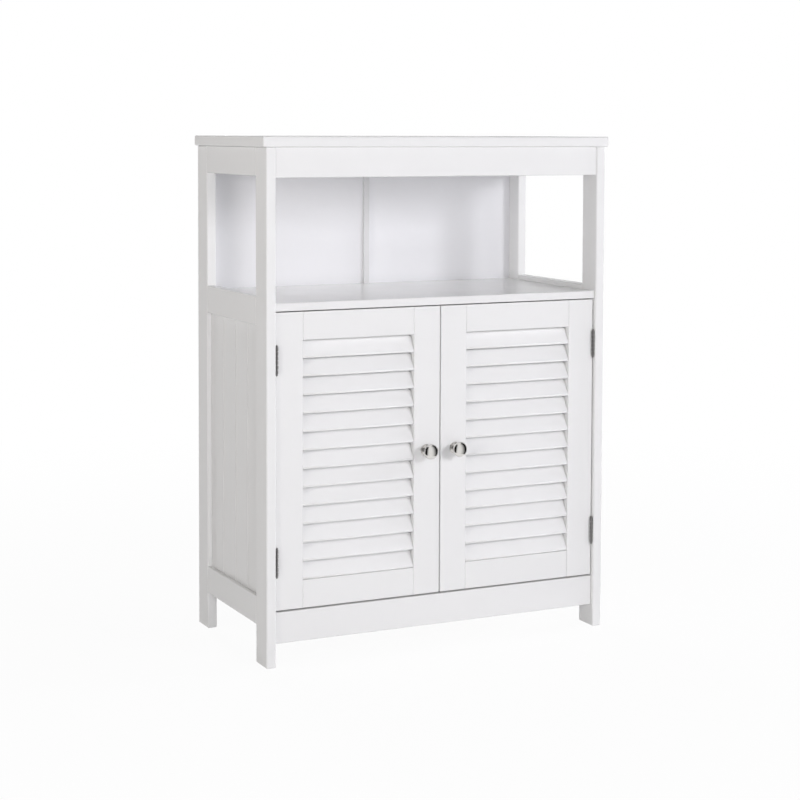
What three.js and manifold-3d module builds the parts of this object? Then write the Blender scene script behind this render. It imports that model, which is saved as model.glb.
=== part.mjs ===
// Louvred door cabinet: an open bay over a two door cupboard, standing on four flat legs.
// Millimetres. +X is the viewer's right, +Y is the back, +Z is up. The origin is on the floor, in
// the middle of the whole footprint, knobs included.
import * as THREE from "three";
import { ConvexGeometry } from "three/addons/geometries/ConvexGeometry.js";
import { mergeVertices } from "three/addons/utils/BufferGeometryUtils.js";
import Module from "manifold-3d";

const wasm = await Module();
wasm.setup();

// Whole cabinet, over the top board
const cabinetWidth = 600;
const cabinetDepth = 300;
const cabinetHeight = 800;

// Top board
const topThickness = 16;
const topSideOverhang = 5.5;
const topFrontOverhang = 2;
const topEase = 1.4;

// Legs and the rails between the front and back leg of each side
const legThickness = 15.5;
const legWidth = 43;
const legEase = 1.4;
const sideRailHeight = 43.6;
const sideRailEase = 0.9;
const bottomRailUnder = 58.6;
const middleRailRise = 8.2;

// Beaded panel of each side, held in grooves of its legs and rails
const panelThickness = 6;
const panelRecess = 7.5;
const panelTongue = 5;
const panelBeadCount = 3;
const panelBeadWidth = 2.6;
const panelBeadDepth = 1.4;

// Front apron and front plinth, both set back behind the faces of the legs
const apronHeight = 45.5;
const apronThickness = 15;
const apronSetback = 2;
const plinthUnder = 35;
const plinthHeight = 47.7;
const plinthThickness = 15;
const plinthSetback = 6;
const boardEase = 0.9;

// Boards: the floor of the open bay, the floor of the cupboard and the loose shelf
const middleBoardTop = 551;
const middleBoardThickness = 12.5;
const middleBoardSetback = 4.4;
const bottomBoardThickness = 12;
const shelfThickness = 12;
const shelfHeight = 318;
const shelfDoorGap = 5;
const shelfBackGap = 4;

// Back: two thin panels and the strip that joins their edges
const backPanelThickness = 3;
const backPanelInset = 8;
const backPanelTongue = 5;
const stripWidth = 9.4;
const stripFrontDepth = 7;
const stripWebWidth = 3;
const stripFlangeDepth = 1.5;

// Shelf supports and their rows of holes
const pinDiameter = 5;
const pinDepth = 8;
const pinEdgeInset = 10;
const pinHoleSpacing = 32;
const pinHolesEachWay = 1;
const pinPlateThickness = 1.4;
const pinTongueLength = 9;
const pinTongueThickness = 2;

// Doors
const doorThickness = 18;
const doorRecess = 6;
const doorTopGap = 1.7;
const doorBottomGap = 2.5;
const doorMeetingGap = 1.8;
const stileWidth = 45;
const doorTopRailHeight = 43;
const doorBottomRailHeight = 43;
const doorEase = 0.8;

// Louvres
const louvreSpacing = 28.2;
const louvreThickness = 5;
const louvreTilt = THREE.MathUtils.degToRad(23.5);
const louvreFaceInset = 0.7;
const louvreTailEase = 1;
const louvreTenonLength = 5;
const louvreTenonThickness = 2.6;
const louvreTenonInset = 5;

// Butt hinges, with a small finial at each end of the pin. The knuckles lie in the corner between
// the leg and the face of the door.
const upperHingeInset = 71.5;
const lowerHingeInset = 73.8;
const knuckleRunLength = 41;
const knuckleRadius = 2.2;
const knuckleStandOff = 0.8;
const knucklesPerLeaf = 3;
const leafThickness = 1;
const leafPlay = 0.3;
const leafDepth = 14;
const hingePinRadius = 1.1;
const finialLength = 3.4;
const finialRadius = 1.9;
const finialTipRadius = 0.7;

// Knobs, each held by one screw from the back of the door
const knobAboveMiddle = 1.2;
const knobEdgeInset = 24.4;
const knobProjection = 26;
const knobBaseRadius = 9.2;
const knobBaseThickness = 2.2;
const knobStepRadius = 7.4;
const knobStepHeight = 3.6;
const knobNeckRadius = 4.6;
const knobNeckHeight = 9;
const knobHeadRadius = 11.9;
const knobHeadUnder = 16.5;
const knobRimHeight = 19;
const knobScrewRadius = 1.9;
const knobScrewReach = 8;
const screwHeadRadius = 4.2;
const screwHeadHeight = 2.4;
const screwHeadCrown = 1;

// Double magnetic catch under the floor of the open bay
const catchHalfWidth = 24;
const catchDepth = 15;
const catchWall = 2.5;
const catchEase = 1;
const magnetWidth = 15;
const magnetHeight = 7;
const magnetDepth = 6;
const magnetCentre = 13;
const magnetStandOut = 0.5;
const strikeWidth = 24;
const strikeHeight = 10;
const strikeThickness = 1.2;
const strikeEdgeInset = 3.5;
const strikeTopInset = 2;

// Clearances, the overrun of every cut and how finely round forms are cut
const fitClearance = 0.3;
const cutOverrun = 2;
const smallRoundSides = 16;
const knobSides = 28;
const arcSteps = 5;

// Planes that the pieces share. The right half is modelled, and x is the distance from the middle.
const underTop = cabinetHeight - topThickness;
const legOuter = cabinetWidth / 2 - topSideOverhang;
const legInner = legOuter - legThickness;
const legFront = topFrontOverhang - cabinetDepth / 2;
const legBack = cabinetDepth / 2;
const frontLegRear = legFront + legWidth;
const backLegFront = legBack - legWidth;
const backPanelBack = legBack - backPanelInset;
const backPanelFront = backPanelBack - backPanelThickness;
const stripFront = backPanelFront - stripFrontDepth;
const middleBoardUnder = middleBoardTop - middleBoardThickness;
const middleRailTop = middleBoardTop + middleRailRise;
const middleRailUnder = middleRailTop - sideRailHeight;
const bottomRailTop = bottomRailUnder + sideRailHeight;
const apronFace = legFront + apronSetback;
const plinthFace = legFront + plinthSetback;
const plinthTop = plinthUnder + plinthHeight;
const bottomBoardUnder = plinthTop - bottomBoardThickness;
const doorFace = legFront + doorRecess;
const doorBack = doorFace + doorThickness;
const doorBottom = plinthTop + doorBottomGap;
const doorTop = middleBoardUnder - doorTopGap;
const doorOuter = legInner - leafThickness - leafPlay;
const doorInner = doorMeetingGap / 2;
const hingeStileInner = doorOuter - stileWidth;
const meetingStileOuter = doorInner + stileWidth;
const hingeAxisX = legInner - fitClearance - knuckleRadius;
const hingeAxisY = doorFace - knuckleStandOff - knuckleRadius;
const knobX = doorInner + knobEdgeInset;
const knobZ = (doorBottom + doorTop) / 2 + knobAboveMiddle;
const louvreBottom = doorBottom + doorBottomRailHeight;
const louvreTop = doorTop - doorTopRailHeight;
const shelfFront = doorBack + shelfDoorGap;
const shelfBack = stripFront - shelfBackGap;
const strikeFace = doorBack + strikeThickness;

const lacquer = { color: 0xf1f1ef, roughness: 0.42, metalness: 0 };
const backSheet = { color: 0xeeeeec, roughness: 0.5, metalness: 0 };
const nickel = { color: 0xb9b4ac, roughness: 0.28, metalness: 1 };
const steel = { color: 0x9c968e, roughness: 0.4, metalness: 1 };
const plastic = { color: 0xe9e9e6, roughness: 0.45, metalness: 0 };
const ferrite = { color: 0x4a4a4c, roughness: 0.6, metalness: 0.2 };

function piece(name, geometry, finish) {
  const mesh = new THREE.Mesh(geometry, new THREE.MeshStandardMaterial(finish));
  mesh.name = name;
  return mesh;
}

// A board between two corners, with every edge eased by the same flat
function board(low, high, ease) {
  const points = [];
  for (const x of [low[0], high[0]]) {
    for (const y of [low[1], high[1]]) {
      for (const z of [low[2], high[2]]) {
        const corner = [x, y, z];
        const eased = corner.map((value, axis) => (value === low[axis] ? value + ease : value - ease));
        for (const flat of [0, 1, 2]) {
          const point = eased.slice();
          point[flat] = corner[flat];
          points.push(new THREE.Vector3(...point));
        }
      }
    }
  }
  return new ConvexGeometry(points);
}

// A plain block between two corners
function block(low, high) {
  const outline = new THREE.Shape([
    new THREE.Vector2(low[0], low[1]),
    new THREE.Vector2(high[0], low[1]),
    new THREE.Vector2(high[0], high[1]),
    new THREE.Vector2(low[0], high[1]),
  ]);
  return prism(outline, low[2], high[2]);
}

// An outline in x and y, carried straight up between two heights
function prism(outline, from, to) {
  const geometry = new THREE.ExtrudeGeometry(outline, {
    depth: to - from,
    bevelEnabled: false,
    curveSegments: arcSteps,
  });
  const position = geometry.getAttribute("position");
  for (let i = 0; i < position.count; i += 1) {
    position.setZ(i, position.getZ(i) > 0 ? to : from);
  }
  return geometry;
}

// Turns an upright prism so that its outline stands in y and z and its length runs along x
const ALONG_X = new THREE.Matrix4().makeBasis(
  new THREE.Vector3(0, 1, 0),
  new THREE.Vector3(0, 0, 1),
  new THREE.Vector3(1, 0, 0),
);

function rod(radius, from, to) {
  const geometry = new THREE.CylinderGeometry(radius, radius, to - from, smallRoundSides);
  return geometry.rotateX(Math.PI / 2).translate(0, 0, (from + to) / 2);
}

// A profile of [radius, height] pairs that starts and ends on the axis, turned round Z
function turned(profile, sides) {
  const points = profile.map(([radius, height]) => new THREE.Vector2(radius, height));
  return new THREE.LatheGeometry(points, sides).rotateX(Math.PI / 2);
}

function solid(geometry) {
  const bare = geometry.index ? geometry.toNonIndexed() : geometry.clone();
  bare.deleteAttribute("normal");
  bare.deleteAttribute("uv");
  const merged = mergeVertices(bare);
  return new wasm.Manifold(
    new wasm.Mesh({
      numProp: 3,
      vertProperties: merged.getAttribute("position").array,
      triVerts: new Uint32Array(merged.index.array),
    }),
  );
}

function geometryOf(manifold) {
  const mesh = manifold.getMesh();
  const geometry = new THREE.BufferGeometry();
  geometry.setAttribute("position", new THREE.BufferAttribute(mesh.vertProperties, 3));
  geometry.setIndex(new THREE.BufferAttribute(mesh.triVerts, 1));
  geometry.computeVertexNormals();
  return geometry;
}

function join(geometries) {
  return geometryOf(geometries.map(solid).reduce((whole, part) => whole.add(part)));
}

function cut(geometry, tools) {
  return geometryOf(tools.map(solid).reduce((whole, tool) => whole.subtract(tool), solid(geometry)));
}

function topBoard() {
  const blank = board(
    [-cabinetWidth / 2, -cabinetDepth / 2, underTop],
    [cabinetWidth / 2, cabinetDepth / 2, cabinetHeight],
    topEase,
  );
  return piece("top_board", cut(blank, [backPanelGroove()]), lacquer);
}

// The groove under the top board that the back panels stand in
function backPanelGroove() {
  const reach = legInner + backPanelTongue + fitClearance;
  return block(
    [-reach, backPanelFront - fitClearance, underTop - cutOverrun],
    [reach, backPanelBack + fitClearance, underTop + backPanelTongue + fitClearance],
  );
}

function frontApron() {
  const low = [-legInner, apronFace, underTop - apronHeight];
  const high = [legInner, apronFace + apronThickness, underTop];
  return piece("front_apron", board(low, high, boardEase), lacquer);
}

function frontPlinth() {
  const low = [-legInner, plinthFace, plinthUnder];
  const high = [legInner, plinthFace + plinthThickness, plinthTop];
  return piece("front_plinth", board(low, high, boardEase), lacquer);
}

function middleBoard() {
  const low = [-legInner, legFront + middleBoardSetback, middleBoardUnder];
  const high = [legInner, backPanelFront, middleBoardTop];
  return piece("middle_board", board(low, high, boardEase), lacquer);
}

function bottomBoard() {
  const low = [-legInner, plinthFace + plinthThickness, bottomBoardUnder];
  const high = [legInner, backPanelFront, plinthTop];
  return piece("bottom_board", board(low, high, boardEase), lacquer);
}

function innerShelf() {
  const reach = legInner - pinPlateThickness - fitClearance;
  const low = [-reach, shelfFront, shelfHeight];
  const high = [reach, shelfBack, shelfHeight + shelfThickness];
  return piece("inner_shelf", board(low, high, boardEase), lacquer);
}

// The strip is an H in plan. Its thick front bar is left out where the two fixed boards pass.
function backJointStrip() {
  const wide = stripWidth / 2;
  const web = stripWebWidth / 2;
  const rear = backPanelBack + stripFlangeDepth;
  const outline = new THREE.Shape();
  outline.moveTo(-wide, stripFront);
  outline.lineTo(wide, stripFront);
  outline.lineTo(wide, backPanelFront);
  outline.lineTo(web, backPanelFront);
  outline.lineTo(web, backPanelBack);
  outline.lineTo(wide, backPanelBack);
  outline.lineTo(wide, rear);
  outline.lineTo(-wide, rear);
  outline.lineTo(-wide, backPanelBack);
  outline.lineTo(-web, backPanelBack);
  outline.lineTo(-web, backPanelFront);
  outline.lineTo(-wide, backPanelFront);
  outline.closePath();
  const past = wide + cutOverrun;
  const passes = [
    [bottomBoardUnder - cutOverrun, plinthTop],
    [middleBoardUnder, middleBoardTop],
  ].map(([from, to]) => block([-past, stripFront - cutOverrun, from], [past, backPanelFront, to]));
  const strip = cut(prism(outline, bottomBoardUnder, underTop), passes);
  return piece("back_joint_strip", strip, plastic);
}

function backPanel(side) {
  const low = [stripWebWidth / 2 + fitClearance, backPanelFront, bottomBoardUnder];
  const high = [legInner + backPanelTongue, backPanelBack, underTop + backPanelTongue];
  return piece(`back_panel_${side}`, block(low, high), backSheet);
}

// The slot that a side panel's edge stands in, as one block that cuts both legs and both rails
function sidePanelSlot() {
  const past = panelTongue + fitClearance;
  const outer = legOuter - panelRecess;
  return block(
    [outer - panelThickness - fitClearance, frontLegRear - past, bottomRailTop - past],
    [outer + fitClearance, backLegFront + past, middleRailUnder + past],
  );
}

function pinHeights() {
  const seat = shelfHeight - pinTongueThickness - pinDiameter / 2;
  const heights = [];
  for (let step = -pinHolesEachWay; step <= pinHolesEachWay; step += 1) {
    heights.push(seat + step * pinHoleSpacing);
  }
  return heights;
}

function pinHoles(y) {
  const radius = pinDiameter / 2 + fitClearance;
  return pinHeights().map((z) =>
    rod(radius, -cutOverrun, pinDepth + fitClearance)
      .applyMatrix4(ALONG_X)
      .translate(legInner, y, z),
  );
}

const frontPinY = frontLegRear - pinEdgeInset;
const backPinY = backLegFront + pinEdgeInset;

function frontLeg(side) {
  const blank = board([legInner, legFront, 0], [legOuter, frontLegRear, underTop], legEase);
  return piece(`leg_front_${side}`, cut(blank, [sidePanelSlot(), ...pinHoles(frontPinY)]), lacquer);
}

function backLeg(side) {
  const blank = board([legInner, backLegFront, 0], [legOuter, legBack, underTop], legEase);
  const backGroove = block(
    [legInner - cutOverrun, backPanelFront - fitClearance, bottomBoardUnder - fitClearance],
    [legInner + backPanelTongue + fitClearance, backPanelBack + fitClearance, underTop + cutOverrun],
  );
  const tools = [sidePanelSlot(), backGroove, ...pinHoles(backPinY)];
  return piece(`leg_back_${side}`, cut(blank, tools), lacquer);
}

function sideRails(side) {
  const places = [
    ["top", underTop - sideRailHeight],
    ["middle", middleRailUnder],
    ["bottom", bottomRailUnder],
  ];
  return places.map(([place, under]) => {
    const low = [legInner, frontLegRear, under];
    const high = [legOuter, backLegFront, under + sideRailHeight];
    const blank = board(low, high, sideRailEase);
    const rail = place === "top" ? blank : cut(blank, [sidePanelSlot()]);
    return piece(`side_rail_${place}_${side}`, rail, lacquer);
  });
}

// A panel with upright vee grooves on its outer face, which part it into equal planks
function sidePanel(side) {
  const outer = legOuter - panelRecess;
  const front = frontLegRear - panelTongue;
  const back = backLegFront + panelTongue;
  const plank = (backLegFront - frontLegRear) / (panelBeadCount + 1);
  const outline = new THREE.Shape();
  outline.moveTo(outer - panelThickness, front);
  outline.lineTo(outer, front);
  for (let bead = 1; bead <= panelBeadCount; bead += 1) {
    const y = frontLegRear + bead * plank;
    outline.lineTo(outer, y - panelBeadWidth / 2);
    outline.lineTo(outer - panelBeadDepth, y);
    outline.lineTo(outer, y + panelBeadWidth / 2);
  }
  outline.lineTo(outer, back);
  outline.lineTo(outer - panelThickness, back);
  outline.closePath();
  const panel = prism(outline, bottomRailTop - panelTongue, middleRailUnder + panelTongue);
  return piece(`side_panel_${side}`, panel, lacquer);
}

// A spoon support: a round pin in the leg, a plate against the leg and a flat tongue for the shelf
function shelfPin(name, y) {
  const z = pinHeights()[pinHolesEachWay];
  const halfWidth = pinDiameter / 2 + fitClearance + pinPlateThickness / 2;
  const plate = block(
    [legInner - pinPlateThickness, y - halfWidth, z - halfWidth],
    [legInner, y + halfWidth, shelfHeight],
  );
  const tongue = block(
    [legInner - pinTongueLength, y - halfWidth, shelfHeight - pinTongueThickness],
    [legInner, y + halfWidth, shelfHeight],
  );
  const pin = rod(pinDiameter / 2, -pinPlateThickness / 2, pinDepth)
    .applyMatrix4(ALONG_X)
    .translate(legInner, y, z);
  return piece(name, join([plate, tongue, pin]), steel);
}

const knucklePitch = knuckleRunLength / (2 * knucklesPerLeaf);
const hingePlaces = [
  ["upper", doorTop - upperHingeInset],
  ["lower", doorBottom + lowerHingeInset],
];

// Height spans of one leaf's knuckles, measured from the hinge's middle
function knuckleSpans(first) {
  const spans = [];
  for (let i = first; i < 2 * knucklesPerLeaf; i += 2) {
    const from = i * knucklePitch - knuckleRunLength / 2;
    spans.push([from + fitClearance / 2, from + knucklePitch - fitClearance / 2]);
  }
  return spans;
}

// A hinge leaf about its own axis: a plate whose outer face lies against a plane, and its knuckles
function hingeLeaf(outerFace, first) {
  const high = outerFace - hingeAxisX;
  const low = high - leafThickness;
  const plateFront = doorFace - hingeAxisY;
  const half = knuckleRunLength / 2;
  const forms = [block([low, plateFront, -half], [high, leafDepth, half])];
  for (const [from, to] of knuckleSpans(first)) {
    forms.push(rod(knuckleRadius, from, to));
    forms.push(block([low, 0, from], [high, plateFront + cutOverrun, to]));
  }
  const bore = rod(hingePinRadius + fitClearance, -half - cutOverrun, half + cutOverrun);
  return cut(join(forms), [bore]);
}

function hingePin() {
  const shoulder = knuckleRunLength / 2;
  const tip = shoulder + finialLength;
  const bulge = shoulder + finialLength / 3;
  return turned(
    [
      [0, -tip],
      [finialTipRadius, -tip],
      [finialRadius, -bulge],
      [finialRadius, -shoulder],
      [hingePinRadius, -shoulder],
      [hingePinRadius, shoulder],
      [finialRadius, shoulder],
      [finialRadius, bulge],
      [finialTipRadius, tip],
      [0, tip],
    ],
    smallRoundSides,
  );
}

function atHinge(geometry, z) {
  return geometry.translate(hingeAxisX, hingeAxisY, z);
}

function fixedHingeParts(side) {
  return hingePlaces.flatMap(([place, z]) => [
    piece(`hinge_leg_leaf_${place}_${side}`, atHinge(hingeLeaf(legInner, 1), z), steel),
    piece(`hinge_pin_${place}_${side}`, atHinge(hingePin(), z), steel),
  ]);
}

// Louvre section about the middle of its nose: x across the slat, front first, and y up the slat
const louvreHalf = louvreThickness / 2;
const louvreNoseDepth = louvreFaceInset + louvreHalf;
const louvreRun =
  (doorThickness - louvreNoseDepth - louvreHalf * Math.cos(louvreTilt)) / Math.sin(louvreTilt);
const louvreCount = Math.round((louvreTop - louvreBottom) / louvreSpacing);
const louvrePitch = (louvreTop - louvreBottom) / louvreCount;

function louvreOutline() {
  const outline = new THREE.Shape();
  outline.moveTo(-louvreHalf, 0);
  outline.absarc(0, 0, louvreHalf, Math.PI, 2 * Math.PI, false);
  outline.lineTo(louvreHalf, louvreRun - louvreTailEase);
  outline.lineTo(louvreHalf - louvreTailEase, louvreRun);
  outline.lineTo(louvreTailEase - louvreHalf, louvreRun);
  outline.lineTo(-louvreHalf, louvreRun - louvreTailEase);
  outline.closePath();
  return outline;
}

function tenonOutline(clearance) {
  const half = louvreTenonThickness / 2 + clearance;
  const from = louvreTenonInset - clearance;
  const to = louvreRun - louvreTenonInset + clearance;
  return new THREE.Shape([
    new THREE.Vector2(-half, from),
    new THREE.Vector2(half, from),
    new THREE.Vector2(half, to),
    new THREE.Vector2(-half, to),
  ]);
}

// Tilts a slat's prism about its nose and puts it at its height in the door
function atLouvre(geometry, index) {
  const z = louvreBottom + fitClearance + louvreHalf + index * louvrePitch;
  return geometry
    .applyMatrix4(ALONG_X)
    .rotateX(-louvreTilt)
    .translate(0, doorFace + louvreNoseDepth, z);
}

const louvreIndexes = [...Array(louvreCount).keys()];

// The shallow recess in the edge of the stile that a hinge leaf lies in
function leafRecess(z) {
  const reach = knuckleRunLength / 2 + fitClearance;
  return block(
    [doorOuter - leafThickness, doorFace - cutOverrun, z - reach],
    [doorOuter + cutOverrun, hingeAxisY + leafDepth + fitClearance, z + reach],
  );
}

// The hinge stile carries the louvres: each is let into it, and ends in a tenon at the far end
function hingeStileWithLouvres(side) {
  const low = [hingeStileInner, doorFace, doorBottom];
  const high = [doorOuter, doorBack, doorTop];
  const slatEnd = meetingStileOuter + fitClearance;
  const recesses = hingePlaces.map(([, z]) => leafRecess(z));
  const forms = [cut(board(low, high, doorEase), recesses)];
  for (const index of louvreIndexes) {
    forms.push(atLouvre(prism(louvreOutline(), slatEnd, hingeStileInner + cutOverrun), index));
    const tenonEnd = slatEnd - louvreTenonLength;
    forms.push(atLouvre(prism(tenonOutline(0), tenonEnd, slatEnd + cutOverrun), index));
  }
  return piece(`${side}_door_hinge_stile_with_louvres`, join(forms), lacquer);
}

function meetingStile(side) {
  const low = [doorInner, doorFace, doorBottom];
  const high = [meetingStileOuter, doorBack, doorTop];
  const pocketEnd = meetingStileOuter - louvreTenonLength - fitClearance;
  const tools = louvreIndexes.map((index) =>
    atLouvre(prism(tenonOutline(fitClearance), pocketEnd, meetingStileOuter + cutOverrun), index),
  );
  const screwHole = rod(knobScrewRadius + fitClearance, -cutOverrun, doorThickness + cutOverrun);
  tools.push(screwHole.rotateX(-Math.PI / 2).translate(knobX, doorFace, knobZ));
  return piece(`${side}_door_meeting_stile`, cut(board(low, high, doorEase), tools), lacquer);
}

// The top rail has a rebate along its back, which the tail of the highest louvre stands in
function doorRails(side) {
  const tailTop =
    louvreTop -
    louvrePitch +
    fitClearance +
    louvreHalf +
    louvreRun * Math.cos(louvreTilt) +
    louvreHalf * Math.sin(louvreTilt);
  const faceDepthAtTop =
    louvreNoseDepth +
    (louvrePitch - fitClearance - louvreHalf) * Math.tan(louvreTilt) -
    louvreHalf / Math.cos(louvreTilt);
  const rebate = block(
    [meetingStileOuter - cutOverrun, doorFace + faceDepthAtTop - 2 * fitClearance, louvreTop - cutOverrun],
    [hingeStileInner + cutOverrun, doorBack + cutOverrun, Math.max(tailTop, louvreTop) + fitClearance],
  );
  const top = board(
    [meetingStileOuter, doorFace, louvreTop],
    [hingeStileInner, doorBack, doorTop],
    doorEase,
  );
  const bottom = board(
    [meetingStileOuter, doorFace, doorBottom],
    [hingeStileInner, doorBack, louvreBottom],
    doorEase,
  );
  return [
    piece(`${side}_door_top_rail`, cut(top, [rebate]), lacquer),
    piece(`${side}_door_bottom_rail`, bottom, lacquer),
  ];
}

// The knob's profile runs from its screw bore, round its base and neck, to the crown
function knob(side) {
  const rim = knobHeadRadius;
  const crown = knobProjection - knobRimHeight;
  const profile = [
    [0, knobScrewReach + fitClearance],
    [knobScrewRadius + fitClearance, knobScrewReach + fitClearance],
    [knobScrewRadius + fitClearance, 0],
    [knobBaseRadius, 0],
    [knobBaseRadius, knobBaseThickness / 2],
    [(knobBaseRadius + knobStepRadius) / 2, knobBaseThickness],
    [knobStepRadius, knobBaseThickness],
    [knobStepRadius, knobStepHeight],
    [knobNeckRadius, (knobStepHeight + knobNeckHeight) / 2],
    [knobNeckRadius, knobNeckHeight],
    [(knobNeckRadius + rim) / 2, knobHeadUnder - crown / 4],
    [rim - crown / 4, knobHeadUnder],
  ];
  for (let step = 0; step <= arcSteps; step += 1) {
    const angle = (step / arcSteps) * (Math.PI / 2);
    profile.push([rim * Math.cos(angle), knobRimHeight + crown * Math.sin(angle)]);
  }
  profile[profile.length - 1][0] = 0;
  const geometry = turned(profile, knobSides).rotateX(Math.PI / 2);
  return piece(`${side}_door_knob`, geometry.translate(knobX, doorFace, knobZ), nickel);
}

function knobScrew(side) {
  const head = screwHeadHeight;
  const reach = doorThickness + knobScrewReach;
  const profile = [
    [0, -reach],
    [knobScrewRadius, -reach],
    [knobScrewRadius, 0],
    [screwHeadRadius, 0],
    [screwHeadRadius, head - screwHeadCrown],
    [screwHeadRadius - screwHeadCrown, head],
    [0, head],
  ];
  const geometry = turned(profile, smallRoundSides).rotateX(-Math.PI / 2);
  return piece(`${side}_door_knob_screw`, geometry.translate(knobX, doorBack, knobZ), steel);
}

const catchFront = strikeFace + fitClearance + magnetStandOut;
const strikeTop = doorTop - strikeTopInset;
const catchCentreZ = strikeTop - strikeHeight / 2;
const magnetUnder = catchCentreZ - magnetHeight / 2;

// The right magnet's corners, let into the catch with its face standing out of it
const magnetLow = [magnetCentre - magnetWidth / 2, catchFront - magnetStandOut, magnetUnder];
const magnetHigh = [magnetCentre + magnetWidth / 2, catchFront + magnetDepth, magnetUnder + magnetHeight];

function magneticCatch() {
  const low = [-catchHalfWidth, catchFront, magnetUnder - catchWall];
  const high = [catchHalfWidth, catchFront + catchDepth, middleBoardUnder];
  const pocketLow = magnetLow.map((value) => value - fitClearance);
  const pocketHigh = magnetHigh.map((value) => value + fitClearance);
  pocketLow[1] -= cutOverrun;
  const pockets = [
    block(pocketLow, pocketHigh),
    block([-pocketHigh[0], pocketLow[1], pocketLow[2]], [-pocketLow[0], pocketHigh[1], pocketHigh[2]]),
  ];
  return piece("magnetic_catch_body", cut(board(low, high, catchEase), pockets), plastic);
}

function catchMagnet(side) {
  return piece(`magnetic_catch_magnet_${side}`, block(magnetLow, magnetHigh), ferrite);
}

function strikePlate(side) {
  const inner = doorInner + strikeEdgeInset;
  const low = [inner, doorBack, strikeTop - strikeHeight];
  const high = [inner + strikeWidth, strikeFace, strikeTop];
  return piece(`${side}_door_strike_plate`, block(low, high), steel);
}

// A door turns about its hinge pins, so its group stands on their axis
function door(side) {
  const swing = new THREE.Group();
  swing.position.set(hingeAxisX, hingeAxisY, 0);
  const leaf = new THREE.Group();
  leaf.position.set(-hingeAxisX, -hingeAxisY, 0);
  leaf.add(hingeStileWithLouvres(side), meetingStile(side), ...doorRails(side));
  leaf.add(knob(side), knobScrew(side), strikePlate(side));
  for (const [place, z] of hingePlaces) {
    leaf.add(piece(`hinge_door_leaf_${place}_${side}`, atHinge(hingeLeaf(doorOuter, 0), z), steel));
  }
  swing.add(leaf);
  return swing;
}

// Everything that one side has: the other side is its mirror image
function half(side) {
  const group = new THREE.Group();
  group.scale.x = side === "left" ? -1 : 1;
  group.add(frontLeg(side), backLeg(side), ...sideRails(side), sidePanel(side), backPanel(side));
  group.add(shelfPin(`shelf_pin_front_${side}`, frontPinY), shelfPin(`shelf_pin_back_${side}`, backPinY));
  group.add(...fixedHingeParts(side), catchMagnet(side), door(side));
  return group;
}

const cabinet = new THREE.Group();
cabinet.name = "louvred_door_cabinet";
cabinet.add(topBoard(), frontApron(), frontPlinth(), middleBoard(), bottomBoard(), innerShelf());
cabinet.add(backJointStrip(), magneticCatch(), half("left"), half("right"));
// The knobs reach furthest forward, so the middle of the footprint lies in front of the boards' middle
cabinet.position.y = -(legBack + doorFace - knobProjection) / 2;

export default cabinet;
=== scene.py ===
import math

import bmesh
import bpy
from mathutils import Matrix, Vector


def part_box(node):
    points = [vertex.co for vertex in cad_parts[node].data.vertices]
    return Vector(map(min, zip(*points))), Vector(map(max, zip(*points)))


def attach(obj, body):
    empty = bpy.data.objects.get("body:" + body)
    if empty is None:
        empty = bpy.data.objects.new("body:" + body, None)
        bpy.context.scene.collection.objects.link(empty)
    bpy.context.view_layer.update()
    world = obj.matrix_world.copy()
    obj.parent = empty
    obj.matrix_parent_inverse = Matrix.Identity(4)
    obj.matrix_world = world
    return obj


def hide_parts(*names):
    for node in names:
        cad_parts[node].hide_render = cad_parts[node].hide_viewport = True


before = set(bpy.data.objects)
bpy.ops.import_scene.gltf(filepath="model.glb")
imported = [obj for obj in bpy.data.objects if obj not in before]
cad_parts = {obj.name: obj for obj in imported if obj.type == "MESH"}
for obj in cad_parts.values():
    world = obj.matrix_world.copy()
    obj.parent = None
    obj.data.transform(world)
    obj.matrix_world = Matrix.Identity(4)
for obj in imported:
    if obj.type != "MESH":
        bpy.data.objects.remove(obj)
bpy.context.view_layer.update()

MM = 0.001
WHOLE_TURN = math.tau
QUARTER_TURN = WHOLE_TURN / 4
MATRIX_SIZE = 4
X_AXIS = Vector((1, 0, 0))
Z_AXIS = Vector((0, 0, 1))
SIDES = {"left": -1, "right": 1}
LEVELS = ("upper", "lower")

# Photograph's camera, placed from the middle of the top board
CAMERA_FROM_TOP = Vector((-1.32001, -2.70584, 0.0))
CAMERA_HEIGHT = 0.8097
CAMERA_YAW = math.radians(25.9727)
CAMERA_PITCH = math.radians(3.4035)
CAMERA_ROLL = math.radians(0.1992)
CAMERA_LENS = 83.5953
CAMERA_SENSOR = 36.0
CAMERA_SHIFT_Y = -0.1992

# Light
SKY_STRENGTH = 0.03
SKY_COLOUR = (1.0, 0.995, 0.99, 1.0)
WHITE = (1.0, 1.0, 1.0, 1.0)
COOL = (0.968, 0.964, 1.0)
WARM = (1.0, 0.968, 0.945)
LAMP_AIM = Vector((0.0, 0.0, 0.45))
# Lamps round the cabinet: angles round it from the front and above the level, distance, side,
# power and colour. The last one stands behind it, so that its back isn't dark
LAMPS = {
    "front lamp": {"turn": -14, "rise": 4, "away": 3.6, "side": 0.7, "power": 31.4, "tint": COOL},
    "front right lamp": {"turn": 26, "rise": 16, "away": 3.6, "side": 0.7, "power": 38.4, "tint": COOL},
    "side right lamp": {"turn": 60, "rise": 15, "away": 3.6, "side": 1.0, "power": 10.0, "tint": COOL},
    "right lamp": {"turn": 85, "rise": 13, "away": 3.6, "side": 1.3, "power": 73.0, "tint": COOL},
    "left lamp": {"turn": -60, "rise": 8, "away": 3.6, "side": 1.0, "power": 29.5, "tint": WARM},
    "near left lamp": {"turn": -85, "rise": 30, "away": 1.8, "side": 0.8, "power": 3.6, "tint": WARM},
    "back lamp": {"turn": 180, "rise": 16, "away": 3.6, "side": 0.5, "power": 44.0, "tint": COOL},
}
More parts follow.
